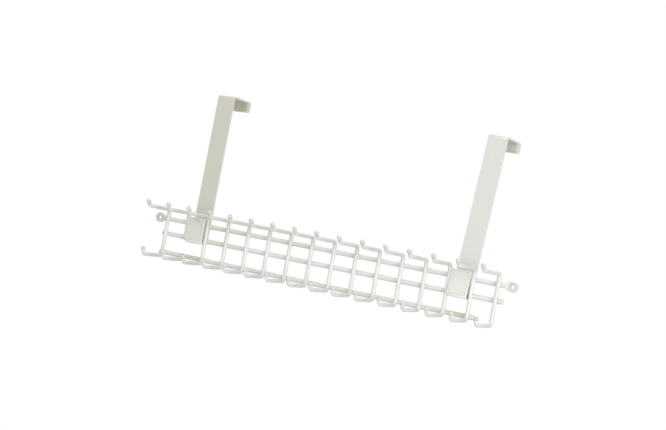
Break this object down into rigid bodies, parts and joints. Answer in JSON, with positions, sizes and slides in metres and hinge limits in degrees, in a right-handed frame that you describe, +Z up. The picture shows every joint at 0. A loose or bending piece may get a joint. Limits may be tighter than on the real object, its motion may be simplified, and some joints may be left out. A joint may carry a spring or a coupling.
{
  "type": "over door tie rack",
  "caption": "Wire rack with two rows of upturned hooks on long rails, hung over the top of a door by flat bent straps.",
  "frame": {"origin": "middle of the rack's width, on the door's front face at its top edge, level with the undersides of the straps' flanges", "axes": "+X along the rails, +Y back through the door, +Z up"},
  "size_m": [0.5224, 0.0981, 0.2239],
  "materials": {
    "coated_wire": "smooth off-white baked coating on steel wire, soft gloss",
    "coated_strap": "smooth off-white baked coating on steel strip, satin"
  },
  "bodies": {
    "root": {"hook_wire_01": "coated_wire", "hook_wire_02": "coated_wire", "hook_wire_02_lower": "coated_wire", "hook_wire_03": "coated_wire", "hook_wire_04": "coated_wire", "hook_wire_05": "coated_wire", "hook_wire_06": "coated_wire", "hook_wire_07": "coated_wire", "hook_wire_08": "coated_wire", "hook_wire_09": "coated_wire", "hook_wire_10": "coated_wire", "hook_wire_11": "coated_wire", "hook_wire_12": "coated_wire", "hook_wire_13": "coated_wire", "hook_wire_14": "coated_wire", "hook_wire_15": "coated_wire", "hook_wire_16": "coated_wire", "top_rail": "coated_wire", "middle_rail": "coated_wire", "bottom_rail": "coated_wire", "left_door_strap": "coated_strap", "right_door_strap": "coated_strap"}
  },
  "joints": []
}
